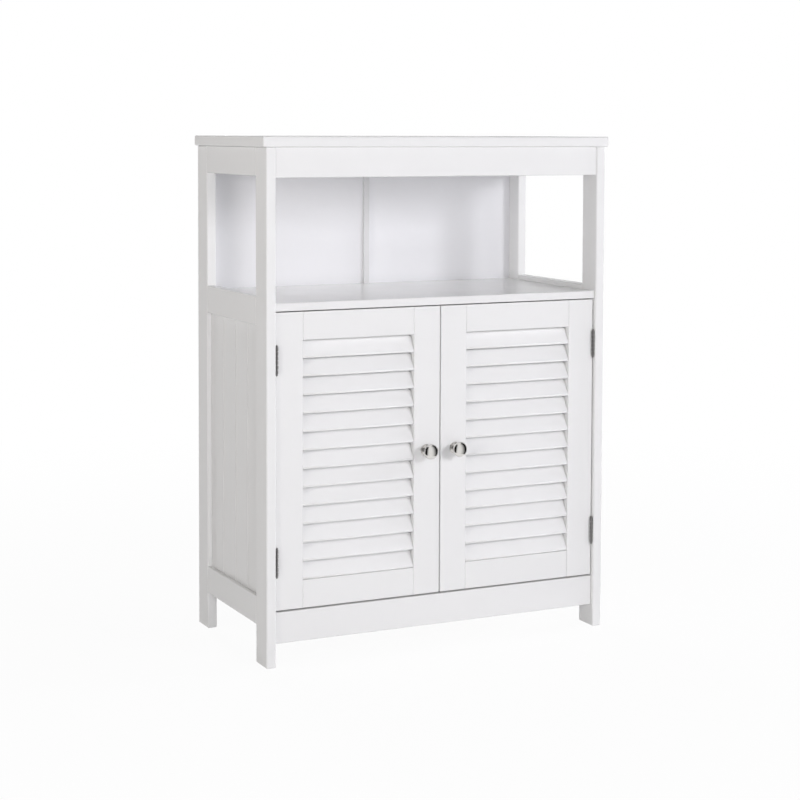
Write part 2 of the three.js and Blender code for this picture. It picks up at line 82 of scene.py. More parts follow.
# Curved cards that only reflections see, black in the middle and fading to the white of the room at
# their sides: the middle's direction from the front, and how far the black and the card reach to
# each side of it. Their section gives distances and heights, from the floor up to overhead
CARD_STEP = 10
CARD_SECTION = ((0.45, 0.002), (3.0, 0.002), (3.0, 6.0))
CARDS = {
    "left card": {"middle": -66, "black": 16, "reach": 54},
    "right card": {"middle": 84, "black": 16, "reach": 78},
}
FLOOR_REACH = 30.0
FLOOR_WHITE_SHARE = 0.95
FLOOR_SHADOW_REACH = (0.5, 2.0)
FLOOR_SEEN_COLOUR = (0.95, 0.95, 0.95, 1.0)
FLOOR_BOUNCE_COLOUR = (0.8, 0.8, 0.8, 1.0)

# Finishes
LACQUER_WHITE = (0.878, 0.878, 0.872, 1.0)
# Painted light: the louvres share the boards' lacquer, but this copy is painted paler to make up for the
# shade in the grooves between the slats
LOUVRE_PAINTED_LIGHTER_WHITE = (0.94, 0.94, 0.937, 1.0)
LACQUER_WORN = (0.80, 0.79, 0.765, 1.0)
SHEET_WHITE = (0.848, 0.848, 0.866, 1.0)
PLASTIC_WHITE = (0.72, 0.72, 0.725, 1.0)
NICKEL = (0.70, 0.685, 0.665, 1.0)
NICKEL_WORN = (0.82, 0.81, 0.79, 1.0)
HINGE_NICKEL = (0.30, 0.295, 0.29, 1.0)
HINGE_NICKEL_WORN = (0.55, 0.54, 0.52, 1.0)
ZINC_STEEL = (0.56, 0.56, 0.57, 1.0)
ZINC_STEEL_WORN = (0.70, 0.70, 0.70, 1.0)
FERRITE = (0.045, 0.045, 0.048, 1.0)
FERRITE_WORN = (0.12, 0.12, 0.125, 1.0)

# Values that the finishes' nodes share
MIX_KINDS = {"Color": "RGBA", "Float": "FLOAT"}
FULL = 1.0
NOISE_MIDDLE = 0.5
CLOUD_GAIN = 4.0
RUB_GAIN = 6.0
RUB_SAMPLES = 4

# Rounding that is added over the flats of the solids
BOARD_ROUNDING = 0.5 * MM
FITTING_ROUNDING = 0.2 * MM
ROUNDING_STEPS = 2
ROUNDED_ABOVE = math.radians(30)
SAME_PLACE = 0.001 * MM
SAME_PLANE = math.radians(1)

# Doors and louvres
STILE_WIDTH = 45 * MM
STILE_ROUNDING = 1.1 * MM
STILE_ROUNDING_STEPS = 3
TOP_RAIL_HEIGHT = 43 * MM
BOTTOM_RAIL_HEIGHT = 43 * MM
LOUVRE_COUNT = 13
LOUVRE_THICKNESS = 5 * MM
LOUVRE_TILT = math.radians(29.9)
LOUVRE_FACE_INSET = 0.2 * MM
LOUVRE_PLAY = 0.3 * MM
LOUVRE_END_GAP = 0.7 * MM
LOUVRE_CORNER_CUT = 3.5 * MM
LOUVRE_TENON = 3 * MM
LOUVRE_TENON_THICKNESS = 2.6 * MM
LOUVRE_TENON_INSET = 5 * MM
LOUVRE_TAIL_ROUNDING = 1.0 * MM
LOUVRE_NOSE_STEPS = 14
LOUVRE_TAIL_STEPS = 3
NEAR_END = -1
FAR_END = 1
# Turns a slat that is drawn in x and y, with its length along z, so that its length lies along x
SLAT_STAND = Matrix(((0, 0, 1, 0), (1, 0, 0, 0), (0, 1, 0, 0), (0, 0, 0, 1)))

# Arcs: usual steps, and the directions at which they start and end, in degrees
ARC_STEPS = 7
DOWN = -90
OUT = 0
UP = 90
IN = 180
HALF_CIRCLE = 180

# Knobs: the outline's arcs in millimetres, from the rim of the base up to the dome. Centres and
# radii are given as [radius, height]
KNOB_STEPS = 72
KNOB_ARCS = {
    "foot": {"centre": (8.9, 0.3), "radii": (0.3, 0.3), "start": -90, "end": 0},
    "base": {"centre": (8.4, 1.4), "radii": (0.8, 0.8), "start": 0, "end": 90},
    "step": {"centre": (7.7, 2.5), "radii": (0.3, 0.3), "start": 270, "end": 180},
    "flange": {"centre": (6.9, 3.1), "radii": (0.5, 0.5), "start": 0, "end": 90},
    "neck": {"centre": (6.9, 6.3), "radii": (2.3, 2.7), "start": 270, "end": 180},
    "shoulder": {"centre": (9.8, 9.0), "radii": (5.2, 6.2), "start": 180, "end": 110},
    "rim": {"centre": (10.0, 19.0), "radii": (1.9, 2.6), "start": -60, "end": 0},
}
KNOB_DOME = {"centre": (0, 19.0), "radii": (11.9, 7.0), "start": 0, "end": 90, "steps": 21}

# Hinges
KNUCKLE_RADIUS = 2.2 * MM
KNUCKLE_RUN = 41 * MM
KNUCKLES = 6
KNUCKLE_GAP = 0.8 * MM
KNUCKLE_BORE = 1.4 * MM
KNUCKLE_EDGE = 0.6 * MM
KNUCKLE_EDGE_STEPS = 3
LEAF_THICKNESS = 1 * MM
LEAF_DEPTH = 14 * MM
LEAF_CLEAR = 3 * MM
LEAF_CORNER = 1.2 * MM
LEAF_CORNER_STEPS = 4
LEAF_EDGE = 0.12 * MM
LEAF_EDGE_STEPS = 2
LEAF_PROUD = 0.03 * MM
# Turns a leaf that is drawn in z and y and thickened, so that its thickness lies along x
LEAF_STAND = Matrix(((0, 0, 1, 0), (0, 1, 0, 0), (1, 0, 0, 0), (0, 0, 0, 1)))
PIN_RADIUS = 1.1 * MM
COLLAR_RADIUS = 1.85 * MM
COLLAR_EDGE = 0.25 * MM
FINIAL_RADIUS = 1.8 * MM
FINIAL_TIP = 0.6 * MM
HINGE_STEPS = 32
# Pin's ends: places and reaches as shares of the finial's length, and each arc's start, end and steps
COLLAR_PLACE = 0.12
COLLAR_REACH = 0.1
COLLAR_SWEEP = (-60, 80, 4)
ACORN_PLACE = 0.24
ACORN_REACH = 0.5
ACORN_SWEEP = (8, 62, 6)
TIP_FLARE = 1.2
TIP_SWEEP = (10, 90, 4)

# Screws
HINGE_SCREW_RADIUS = 2.1 * MM
HINGE_SCREW_CROWN = 0.12 * MM
HINGE_SCREW_SINK = 0.05 * MM
# Each hinge screw's height from the hinge's middle, and its distance from the pin
HINGE_SCREWS = ((-13 * MM, 10.6 * MM), (0, 7.2 * MM), (13 * MM, 10.6 * MM))
KNOB_SCREW_RADIUS = 4.2 * MM
KNOB_SCREW_HEIGHT = 2.4 * MM
# Share of the knob screw's height that lies under its crown
KNOB_SCREW_SHARE = 0.92
STRIKE_SCREW_RADIUS = 2.2 * MM
SCREW_STEPS = 24
# Cross recess: arms, shares of the head's radius, and how much narrower its floor is
CROSS_ARMS = 4
CROSS_LENGTH = 0.55
CROSS_WIDTH = 0.16
CROSS_DEPTH = 0.38
CROSS_FLOOR = 0.6
# Pan head's shoulder and crown by its height, and the flat head's rim by its radius
PAN_FLATNESS = 2.6
PAN_SHOULDER_END = 78
PAN_CROWN = 0.08
FLAT_RIM = 0.97


def centre_of(node):
    low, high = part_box(node)
    return (low + high) / 2


def turned(angle, axis):
    return Matrix.Rotation(angle, MATRIX_SIZE, axis)


# Nodes and node groups

def add_node(tree, kind, inputs=None, **settings):
    """A node with its settings made, and each named input set to a value or linked to a socket."""
    node = tree.nodes.new(kind)
    for name, value in settings.items():
        setattr(node, name, value)
    for name, value in (inputs or {}).items():
        if isinstance(value, bpy.types.NodeSocket):
            tree.links.new(value, node.inputs[name])
        else:
            node.inputs[name].default_value = value
    return node


def math_node(tree, operation, first, second=0.0, clamp=False):
    settings = {"operation": operation, "use_clamp": clamp}
    return add_node(tree, "ShaderNodeMath", {0: first, 1: second}, **settings).outputs[0]


def new_group(name, inputs, outputs):
    """An empty shader group with named sockets: the tree, its given sockets and its made ones."""
    tree = bpy.data.node_groups.new(name, "ShaderNodeTree")
    for label, value in inputs.items():
        kind = "NodeSocketColor" if isinstance(value, tuple) else "NodeSocketFloat"
        tree.interface.new_socket(label, in_out="INPUT", socket_type=kind).default_value = value
    for label, kind in outputs.items():
        tree.interface.new_socket(label, in_out="OUTPUT", socket_type=kind)
    given = tree.nodes.new("NodeGroupInput").outputs
    made = tree.nodes.new("NodeGroupOutput").inputs
    return tree, given, made


def use_group(tree, group, inputs):
    return add_node(tree, "ShaderNodeGroup", inputs, node_tree=group).outputs


def film_group():
    """Sprayed or moulded surface: faint clouds of tone, a fine peel and an uneven gloss."""
    inputs = {
        "Colour": WHITE,
        "Cloud scale": 6.0,
        "Cloud depth": 0.015,
        "Peel scale": 700.0,
        "Peel height": 0.00001,
        "Roughness": 0.4,
        "Roughness spread": 0.05,
    }
    outputs = {"Colour": "NodeSocketColor", "Roughness": "NodeSocketFloat", "Normal": "NodeSocketVector"}
    tree, given, made = new_group("Film", inputs, outputs)
    spot = add_node(tree, "ShaderNodeTexCoord").outputs["Object"]
    cloud_inputs = {"Vector": spot, "Scale": given["Cloud scale"], "Detail": 4.0, "Roughness": 0.6}
    cloud = add_node(tree, "ShaderNodeTexNoise", cloud_inputs).outputs["Fac"]
    swing = math_node(tree, "MULTIPLY", math_node(tree, "SUBTRACT", cloud, NOISE_MIDDLE), CLOUD_GAIN)
    tone = math_node(tree, "ADD", math_node(tree, "MULTIPLY", swing, given["Cloud depth"]), FULL)
    toned = add_node(
        tree, "ShaderNodeVectorMath", {0: given["Colour"], "Scale": tone}, operation="SCALE"
    ).outputs[0]
    tree.links.new(toned, made["Colour"])
    gloss = math_node(tree, "MULTIPLY", swing, given["Roughness spread"])
    tree.links.new(math_node(tree, "ADD", gloss, given["Roughness"]), made["Roughness"])
    peel_inputs = {"Vector": spot, "Scale": given["Peel scale"], "Detail": 2.0, "Roughness": 0.5}
    peel = add_node(tree, "ShaderNodeTexNoise", peel_inputs).outputs["Fac"]
    bump_inputs = {"Height": peel, "Distance": given["Peel height"], "Strength": 1.0}
    tree.links.new(add_node(tree, "ShaderNodeBump", bump_inputs).outputs[0], made["Normal"])
    return tree


def rub_group():
    """Mask of the edges that hands and cloths rub, broken up so that the wear isn't even."""
    inputs = {"Width": 0.0008, "Amount": 0.4, "Patch scale": 60.0}
    tree, given, made = new_group("Edge rub", inputs, {"Mask": "NodeSocketFloat"})
    settings = {"samples": RUB_SAMPLES}
    round_normal = add_node(tree, "ShaderNodeBevel", {"Radius": given["Width"]}, **settings).outputs[0]
    true_normal = add_node(tree, "ShaderNodeNewGeometry").outputs["True Normal"]
    dot = add_node(
        tree, "ShaderNodeVectorMath", {0: round_normal, 1: true_normal}, operation="DOT_PRODUCT"
    ).outputs["Value"]
    bend = math_node(tree, "SUBTRACT", FULL, dot, clamp=True)
    edge = math_node(tree, "MULTIPLY", bend, RUB_GAIN, clamp=True)
    spot = add_node(tree, "ShaderNodeTexCoord").outputs["Object"]
    patch_inputs = {"Vector": spot, "Scale": given["Patch scale"], "Detail": 3.0, "Roughness": 0.65}
    patch = add_node(tree, "ShaderNodeTexNoise", patch_inputs).outputs["Fac"]
    spread_inputs = {"Value": patch, "From Min": 0.38, "From Max": 0.66}
    broken = add_node(tree, "ShaderNodeMapRange", spread_inputs, clamp=True).outputs["Result"]
    worn = math_node(tree, "MULTIPLY", edge, broken)
    tree.links.new(math_node(tree, "MULTIPLY", worn, given["Amount"], clamp=True), made["Mask"])
    return tree


def lathe_group():
    """Fine rings that a lathe leaves round the Y axis of the coordinates that it's given."""
    inputs = {"Ring scale": 3000.0, "Ring height": 0.000002}
    tree, given, made = new_group("Lathe rings", inputs, {"Normal": "NodeSocketVector"})
    vector = tree.interface.new_socket("Vector", in_out="INPUT", socket_type="NodeSocketVector")
    given_vector = tree.nodes["Group Input"].outputs[vector.name]
    parts = add_node(tree, "ShaderNodeSeparateXYZ", {0: given_vector}).outputs
    flat = add_node(tree, "ShaderNodeCombineXYZ", {"X": parts["X"], "Y": parts["Z"]}).outputs[0]
    radius = add_node(tree, "ShaderNodeVectorMath", {0: flat}, operation="LENGTH").outputs["Value"]
    along = math_node(tree, "ADD", radius, parts["Y"])
    ring_inputs = {"W": along, "Scale": given["Ring scale"], "Detail": 2.0}
    rings = add_node(tree, "ShaderNodeTexNoise", ring_inputs, noise_dimensions="1D").outputs["Fac"]
    bump_inputs = {"Height": rings, "Distance": given["Ring height"], "Strength": 1.0}
    tree.links.new(add_node(tree, "ShaderNodeBump", bump_inputs).outputs[0], made["Normal"])
    return tree


# Materials

FILM = film_group()
RUB = rub_group()
LATHE = lathe_group()


def new_material(name):
    material = bpy.data.materials.new(name)
    material.use_nodes = True
    return material, material.node_tree, material.node_tree.nodes["Principled BSDF"]


def mix(tree, kind, factor, first, second):
    """A blend of two colours, or of two numbers where kind is Float."""
    node = add_node(tree, "ShaderNodeMix", data_type=MIX_KINDS[kind])
    sockets = {socket.identifier: socket for socket in node.inputs}
    for label, value in (("Factor_Float", factor), (f"A_{kind}", first), (f"B_{kind}", second)):
        if isinstance(value, bpy.types.NodeSocket):
            tree.links.new(value, sockets[label])
        else:
            sockets[label].default_value = value
    return {socket.identifier: socket for socket in node.outputs}[f"Result_{kind}"]


def coated(name, sound, worn, film, rub, worn_roughness, **constants):
    """A coated surface: the film all over, and its rubbed edges in a second colour and gloss."""
    material, tree, shader = new_material(name)
    coat = use_group(tree, FILM, {"Colour": sound, **film})
    mask = use_group(tree, RUB, rub)["Mask"]
    colour = mix(tree, "Color", mask, coat["Colour"], worn)
    tree.links.new(colour, shader.inputs["Base Color"])
    gloss = mix(tree, "Float", mask, coat["Roughness"], worn_roughness)
    tree.links.new(gloss, shader.inputs["Roughness"])
    tree.links.new(coat["Normal"], shader.inputs["Normal"])
    for label, value in constants.items():
        shader.inputs[label].default_value = value
    return material, tree, shader


def white_lacquer(name, colour):
    film = {"Cloud scale": 5.0, "Cloud depth": 0.006, "Peel scale": 650.0, "Peel height": 0.000012,
            "Roughness": 0.2, "Roughness spread": 0.03}
    rub = {"Width": 0.0009, "Amount": 0.35, "Patch scale": 45.0}
    return coated(name, colour, LACQUER_WORN, film, rub, worn_roughness=0.28, IOR=1.48)[0]


def back_sheet():
    film = {"Cloud scale": 14.0, "Cloud depth": 0.008, "Peel scale": 1500.0, "Peel height": 0.00002,
            "Roughness": 0.52, "Roughness spread": 0.05}
    rub = {"Width": 0.0005, "Amount": 0.5, "Patch scale": 80.0}
    return coated(
        "foil on back sheet", SHEET_WHITE, LACQUER_WORN, film, rub, worn_roughness=0.6, IOR=1.45
    )[0]


def white_plastic():
    film = {"Cloud scale": 9.0, "Cloud depth": 0.004, "Peel scale": 2400.0, "Peel height": 0.00003,
            "Roughness": 0.44, "Roughness spread": 0.03}
    rub = {"Width": 0.0004, "Amount": 0.4, "Patch scale": 120.0}
    return coated(
        "moulded plastic", PLASTIC_WHITE, LACQUER_WHITE, film, rub, worn_roughness=0.34, IOR=1.46
    )[0]


def knob_metal():
    """Polished nickel, turned: the same rings on both knobs, by their distance from the middle."""
    film = {"Cloud scale": 90.0, "Cloud depth": 0.03, "Peel scale": 1800.0, "Peel height": 0.0000015,
            "Roughness": 0.08, "Roughness spread": 0.02}
    rub = {"Width": 0.0004, "Amount": 0.5, "Patch scale": 300.0}
    material, tree, shader = coated(
        "nickel on knobs", NICKEL, NICKEL_WORN, film, rub, worn_roughness=0.06, Metallic=1.0
    )
    spot = add_node(tree, "ShaderNodeTexCoord").outputs["Object"]
    folded = add_node(tree, "ShaderNodeVectorMath", {0: spot}, operation="ABSOLUTE").outputs[0]
    centre = centre_of("right_door_knob")
    shift = {"Vector": folded, "Location": (-centre.x, -abs(centre.y), -centre.z)}
    centred = add_node(tree, "ShaderNodeMapping", shift).outputs[0]
    rings = use_group(tree, LATHE, {"Vector": centred, "Ring scale": 2600.0, "Ring height": 0.0000012})
    tree.links.new(rings["Normal"], shader.inputs["Normal"])
    return material


def hinge_metal():
    film = {"Cloud scale": 160.0, "Cloud depth": 0.05, "Peel scale": 1500.0, "Peel height": 0.000004,
            "Roughness": 0.3, "Roughness spread": 0.05}
    rub = {"Width": 0.0004, "Amount": 0.7, "Patch scale": 260.0}
    return coated(
        "nickel on hinges", HINGE_NICKEL, HINGE_NICKEL_WORN, film, rub, worn_roughness=0.2, Metallic=1.0
    )[0]


def fitting_steel():
    film = {"Cloud scale": 220.0, "Cloud depth": 0.06, "Peel scale": 1300.0, "Peel height": 0.000005,
            "Roughness": 0.36, "Roughness spread": 0.06}
    rub = {"Width": 0.0003, "Amount": 0.6, "Patch scale": 300.0}
    return coated(
        "zinc on fittings", ZINC_STEEL, ZINC_STEEL_WORN, film, rub, worn_roughness=0.24, Metallic=1.0
    )[0]


def magnet_ferrite():
    film = {"Cloud scale": 300.0, "Cloud depth": 0.08, "Peel scale": 2600.0, "Peel height": 0.00003,
            "Roughness": 0.55, "Roughness spread": 0.05}
    rub = {"Width": 0.0004, "Amount": 0.5, "Patch scale": 400.0}
    return coated("ferrite", FERRITE, FERRITE_WORN, film, rub, worn_roughness=0.4, IOR=1.7)[0]


FINISHES = {
    "white_lacquer": white_lacquer("lacquer on boards", LACQUER_WHITE),
    "back_sheet": back_sheet(),
    "white_plastic": white_plastic(),
    "knob_metal": knob_metal(),
    "hinge_metal": hinge_metal(),
    "fitting_steel": fitting_steel(),
    "magnet": magnet_ferrite(),
}
# A lighter copy of the board lacquer for the louvres: painted light, not a different paint
LOUVRE_PAINTED_LIGHTER_FINISH = white_lacquer("lacquer on louvres painted lighter", LOUVRE_PAINTED_LIGHTER_WHITE)


# Solids that stay: their edges are rounded and they get their finish

def bare_faces_group():
    """Drops the imported normals, so that the rounding that follows is shaded by its own faces."""
    tree = bpy.data.node_groups.new("Bare faces", "GeometryNodeTree")
    for way in ("INPUT", "OUTPUT"):
        tree.interface.new_socket("Geometry", in_out=way, socket_type="NodeSocketGeometry")
    start = tree.nodes.new("NodeGroupInput").outputs[0]
    bare = add_node(tree, "GeometryNodeRemoveAttribute", {"Geometry": start, "Name": "custom_normal"})
    smooth_inputs = {"Geometry": bare.outputs[0], "Shade Smooth": True}
    smooth = add_node(tree, "GeometryNodeSetShadeSmooth", smooth_inputs)
    end = tree.nodes.new("NodeGroupOutput").inputs[0]
    tree.links.new(smooth.outputs[0], end)
    return tree


BARE_FACES = bare_faces_group()


def add_modifier(piece, name, kind, **settings):
    modifier = piece.modifiers.new(name, kind)
    for key, value in settings.items():
        setattr(modifier, key, value)


def shade_by_area(piece):
    add_modifier(piece, "even flats", "WEIGHTED_NORMAL", mode="FACE_AREA", keep_sharp=True)


def round_edges(node, width):
    """Merges a solid's loose triangles into whole faces and rounds the edges between them."""
    add_modifier(node, "bare faces", "NODES", node_group=BARE_FACES)
    add_modifier(node, "merge", "WELD", merge_threshold=SAME_PLACE)
    add_modifier(node, "whole faces", "DECIMATE", decimate_type="DISSOLVE", angle_limit=SAME_PLANE)
    add_modifier(
        node, "round", "BEVEL", width=width, segments=ROUNDING_STEPS, limit_method="ANGLE",
        angle_limit=ROUNDED_ABOVE,
    )
    shade_by_area(node)


def finish_solids():
    """Each solid's own slot name picks its finish and how far its edges are rounded."""
    boards = ("white_lacquer", "back_sheet")
    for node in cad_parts.values():
        slot = node.material_slots[0].material.name
        for own_slot in node.material_slots:
            own_slot.material = FINISHES[slot]
        round_edges(node, BOARD_ROUNDING if slot in boards else FITTING_ROUNDING)


# New pieces

def new_piece(name, bm, slot, body, replaces=(), finish=None):
    """A finished piece from a bmesh in its place, riding on a body and standing for some solids."""
    bmesh.ops.remove_doubles(bm, verts=bm.verts, dist=SAME_PLACE)
    bmesh.ops.recalc_face_normals(bm, faces=bm.faces)
    for face in bm.faces:
        face.smooth = True
    mesh = bpy.data.meshes.new(name)
    bm.to_mesh(mesh)
    bm.free()
    mesh.materials.append(finish or FINISHES[slot])
    piece = bpy.data.objects.new(name, mesh)
    bpy.context.scene.collection.objects.link(piece)
    shade_by_area(piece)
    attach(piece, body)
    if replaces:
        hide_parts(*replaces)
    return piece


def place(bm, matrix):
    bmesh.ops.transform(bm, matrix=matrix, verts=bm.verts)
    return bm


def mirror_to(bm, side):
    """Puts a piece made in half coordinates on its own side."""
    return place(bm, Matrix.Scale(SIDES[side], MATRIX_SIZE, X_AXIS))


def arc(centre, radii, start, end, steps=ARC_STEPS):
    """Points [radius, height] along an ellipse's arc, angles in degrees from the outward side."""
    points = []
    for step in range(steps + 1):
        angle = math.radians(start + (end - start) * step / steps)
        points.append((centre[0] + radii[0] * math.cos(angle), centre[1] + radii[1] * math.sin(angle)))
    return points


def lathe(profile, steps):
    """Turns a profile of [radius, height] points, in metres, round the Z axis."""
    bm = bmesh.new()
    verts = [bm.verts.new((radius, 0, height)) for radius, height in profile]
    edges = [bm.edges.new(pair) for pair in zip(verts, verts[1:])]
    bmesh.ops.spin(
        bm, geom=verts + edges, angle=WHOLE_TURN, steps=steps, axis=Z_AXIS, cent=(0, 0, 0),
        use_merge=True, use_duplicate=False,
    )
    bmesh.ops.remove_doubles(bm, verts=bm.verts, dist=SAME_PLACE)
    return bm


def in_mm(points):
    return [(radius * MM, height * MM) for radius, height in points]


def plate(outline, thickness):
    """An outline in x and y, thickened upwards from z = 0."""
    bm = bmesh.new()
    face = bm.faces.new([bm.verts.new((x, y, 0)) for x, y in outline])
    grown = bmesh.ops.extrude_face_region(bm, geom=[face])["geom"]
    moved = [item for item in grown if isinstance(item, bmesh.types.BMVert)]
    bmesh.ops.translate(bm, verts=moved, vec=(0, 0, thickness))
    bmesh.ops.recalc_face_normals(bm, faces=bm.faces)
    return bm


def bevel(bm, edges, width, steps):
    bmesh.ops.bevel(
        bm, geom=edges, offset=width, offset_type="OFFSET", segments=steps, profile=0.5,
        affect="EDGES", material=-1, clamp_overlap=True,
    )


def merge_into(bm, other):
    """Adds another bmesh to this one as a shell of its own."""
    mesh = bpy.data.meshes.new("joined")
    other.to_mesh(mesh)
    other.free()
    bm.from_mesh(mesh)
    bpy.data.meshes.remove(mesh)


# Hinge stiles and louvres

def rounded_board(low, high, width, steps):
    bm = bmesh.new()
    bmesh.ops.create_cube(bm, size=1)
    size = high - low
    place(bm, Matrix.Translation((low + high) / 2) @ Matrix.Diagonal((*size, 1)))
    bevel(bm, list(bm.edges), width, steps)
    return bm


def louvre_outline(run):
    """Section of a slat: a half round nose at the bottom and a softened tail at the top."""
    half = LOUVRE_THICKNESS / 2
    soft = LOUVRE_TAIL_ROUNDING
    nose = arc((0, 0), (half, half), IN, IN + HALF_CIRCLE, LOUVRE_NOSE_STEPS)
    tail = arc((half - soft, run - soft), (soft, soft), OUT, UP, LOUVRE_TAIL_STEPS)
    tail += arc((soft - half, run - soft), (soft, soft), UP, IN, LOUVRE_TAIL_STEPS)
    return nose + tail


def tenon_outline(run):
    half = LOUVRE_TENON_THICKNESS / 2
    low, high = LOUVRE_TENON_INSET, run - LOUVRE_TENON_INSET
    return [(-half, low), (half, low), (half, high), (-half, high)]


def clip_corner(bm, run, end, way):
    """Cuts the tail's corner off one end of a slat that lies along z."""
    cut = bmesh.ops.bisect_plane(
        bm, geom=bm.verts[:] + bm.edges[:] + bm.faces[:], dist=SAME_PLACE,
        plane_co=(0, run, end - way * LOUVRE_CORNER_CUT), plane_no=(0, 1, way), clear_outer=True,
    )["geom_cut"]
    bmesh.ops.contextual_create(bm, geom=[item for item in cut if isinstance(item, bmesh.types.BMEdge)])


def louvre(left_end, right_end, nose_y, nose_z, run):
    """A slat just clear of the stiles at two x ends, with its tenons, tilted back about its nose."""
    length = right_end - left_end
    bm = plate(louvre_outline(run), length - 2 * LOUVRE_END_GAP)
    place(bm, Matrix.Translation((0, 0, LOUVRE_END_GAP)))
    clip_corner(bm, run, LOUVRE_END_GAP, NEAR_END)
    clip_corner(bm, run, length - LOUVRE_END_GAP, FAR_END)
    reach = length + 2 * LOUVRE_TENON
    merge_into(bm, place(plate(tenon_outline(run), reach), Matrix.Translation((0, 0, -LOUVRE_TENON))))
    tilt = turned(-LOUVRE_TILT, "X")
    return place(bm, Matrix.Translation((left_end, nose_y, nose_z)) @ tilt @ SLAT_STAND)


def make_louvres(side):
    """The louvres of one door and the hinge stile beside them, which one solid stands for."""
    node = f"{side}_door_hinge_stile_with_louvres"
    body = f"{side}_door"
    low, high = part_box("right_door_hinge_stile_with_louvres")
    stile_inner = high.x - STILE_WIDTH
    meeting_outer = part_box("right_door_meeting_stile")[1].x
    stile_low = Vector((stile_inner, low.y, low.z))
    stile = rounded_board(stile_low, high, STILE_ROUNDING, STILE_ROUNDING_STEPS)
    new_piece(f"{side}_door_hinge_stile", mirror_to(stile, side), "white_lacquer", body, [node])
    half = LOUVRE_THICKNESS / 2
    nose_depth = LOUVRE_FACE_INSET + half
    run = (high.y - low.y - nose_depth - half * math.cos(LOUVRE_TILT)) / math.sin(LOUVRE_TILT)
    opening_low = low.z + BOTTOM_RAIL_HEIGHT
    pitch = (high.z - TOP_RAIL_HEIGHT - opening_low) / LOUVRE_COUNT
    for index in range(LOUVRE_COUNT):
        nose_z = opening_low + LOUVRE_PLAY + half + index * pitch
        slat = louvre(meeting_outer, stile_inner, low.y + nose_depth, nose_z, run)
        mirror_to(slat, side)
        name = f"{side}_door_louvre_{index + 1:02d}"
        # Each slat gets the lacquer that is painted lighter, in place of the boards' own
        new_piece(name, slat, "white_lacquer", body, finish=LOUVRE_PAINTED_LIGHTER_FINISH)


# Knobs

def knob_profile():
    """From the middle of the base, over its stepped flange, neck and rim, to the crown."""
    points = [(0, 0)]
    for spec in KNOB_ARCS.values():
        points += arc(**spec)
    points += arc(**KNOB_DOME)[1:]
    points[-1] = (0, points[-1][1])
    return in_mm(points)


def make_knob(side):
    node = f"{side}_door_knob"
    middle = centre_of(node)
    foot = Vector((middle.x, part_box(node)[1].y, middle.z))
    outward = turned(QUARTER_TURN, "X")
    bm = place(lathe(knob_profile(), KNOB_STEPS), Matrix.Translation(foot) @ outward)
    new_piece(f"{side}_door_turned_knob", bm, "knob_metal", f"{side}_door", [node])


# Screws

def cross_outline(radius):
    """Twelve corners of a cross recess, anticlockwise from its right hand arm."""
    long, wide = radius * CROSS_LENGTH, radius * CROSS_WIDTH
    corners = []
    for arm in range(CROSS_ARMS):
        turn = turned(arm * QUARTER_TURN, "Z")
        for x, y in ((long, -wide), (long, wide), (wide, wide)):
            corners.append((turn @ Vector((x, y, 0))).xy)
    return corners


def loop_edges(bm, verts):
    return [bm.edges.get((a, b)) or bm.edges.new((a, b)) for a, b in zip(verts, verts[1:] + verts[:1])]


def cross_screw(profile, radius, crown):
    """A turned head whose top, at z = 0, has a cross recess. profile runs from below to the rim."""
    bm = lathe(profile, SCREW_STEPS)
    top = max(vert.co.z for vert in bm.verts)
    rim = [vert for vert in bm.verts if abs(vert.co.z - top) < SAME_PLACE]
    rim.sort(key=lambda vert: math.atan2(vert.co.y, vert.co.x))
    lip = [bm.verts.new((x, y, top + crown)) for x, y in cross_outline(radius)]
    lip.sort(key=lambda vert: math.atan2(vert.co.y, vert.co.x))
    bmesh.ops.bridge_loops(bm, edges=loop_edges(bm, rim) + loop_edges(bm, lip))
    wall = bmesh.ops.extrude_edge_only(bm, edges=loop_edges(bm, lip))["geom"]
    floor = [item for item in wall if isinstance(item, bmesh.types.BMVert)]
    bmesh.ops.translate(bm, verts=floor, vec=(0, 0, -radius * CROSS_DEPTH))
    bmesh.ops.scale(bm, verts=floor, vec=(CROSS_FLOOR, CROSS_FLOOR, FULL))
    floor.sort(key=lambda vert: math.atan2(vert.co.y, vert.co.x))
    bm.faces.new(floor)
    return bm


def pan_head(radius, height):
    """A pan head that sits on z = 0."""
    half = height / 2
    shoulder = arc((radius - half, half), (half, height / PAN_FLATNESS), OUT, PAN_SHOULDER_END)
    return cross_screw([(0, 0), (radius, 0)] + shoulder, radius, height * PAN_CROWN)


def flat_head(radius, crown):
    """A countersunk head whose rim lies at z = 0, over a cone that sits in the metal."""
    half = radius / 2
    profile = [(0, -half), (half, -half), (radius, -crown), (radius * FLAT_RIM, 0)]
    return cross_screw(profile, radius, crown)


def make_knob_screw(side):
    node = f"{side}_door_knob_screw"
    middle = centre_of(node)
    base = Vector((middle.x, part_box(node)[1].y - KNOB_SCREW_HEIGHT, middle.z))
    inward = turned(-QUARTER_TURN, "X")
    bm = pan_head(KNOB_SCREW_RADIUS, KNOB_SCREW_HEIGHT * KNOB_SCREW_SHARE)
    place(bm, Matrix.Translation(base) @ inward)
    new_piece(f"{side}_door_knob_fixing_screw", bm, "fitting_steel", f"{side}_door", [node])


def make_strike_screw(side):
    node = f"{side}_door_strike_plate"
    middle = centre_of(node)
    face = Vector((middle.x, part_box(node)[1].y, middle.z))
    inward = turned(-QUARTER_TURN, "X")
    bm = place(flat_head(STRIKE_SCREW_RADIUS, HINGE_SCREW_CROWN), Matrix.Translation(face) @ inward)
    new_piece(f"{side}_door_strike_screw", bm, "fitting_steel", f"{side}_door")


# Hinges

def knuckle_spans(first):
    pitch = KNUCKLE_RUN / KNUCKLES
    spans = []
    for index in range(first, KNUCKLES, 2):
        start = index * pitch - KNUCKLE_RUN / 2
        spans.append((start + KNUCKLE_GAP / 2, start + pitch - KNUCKLE_GAP / 2))
    return spans


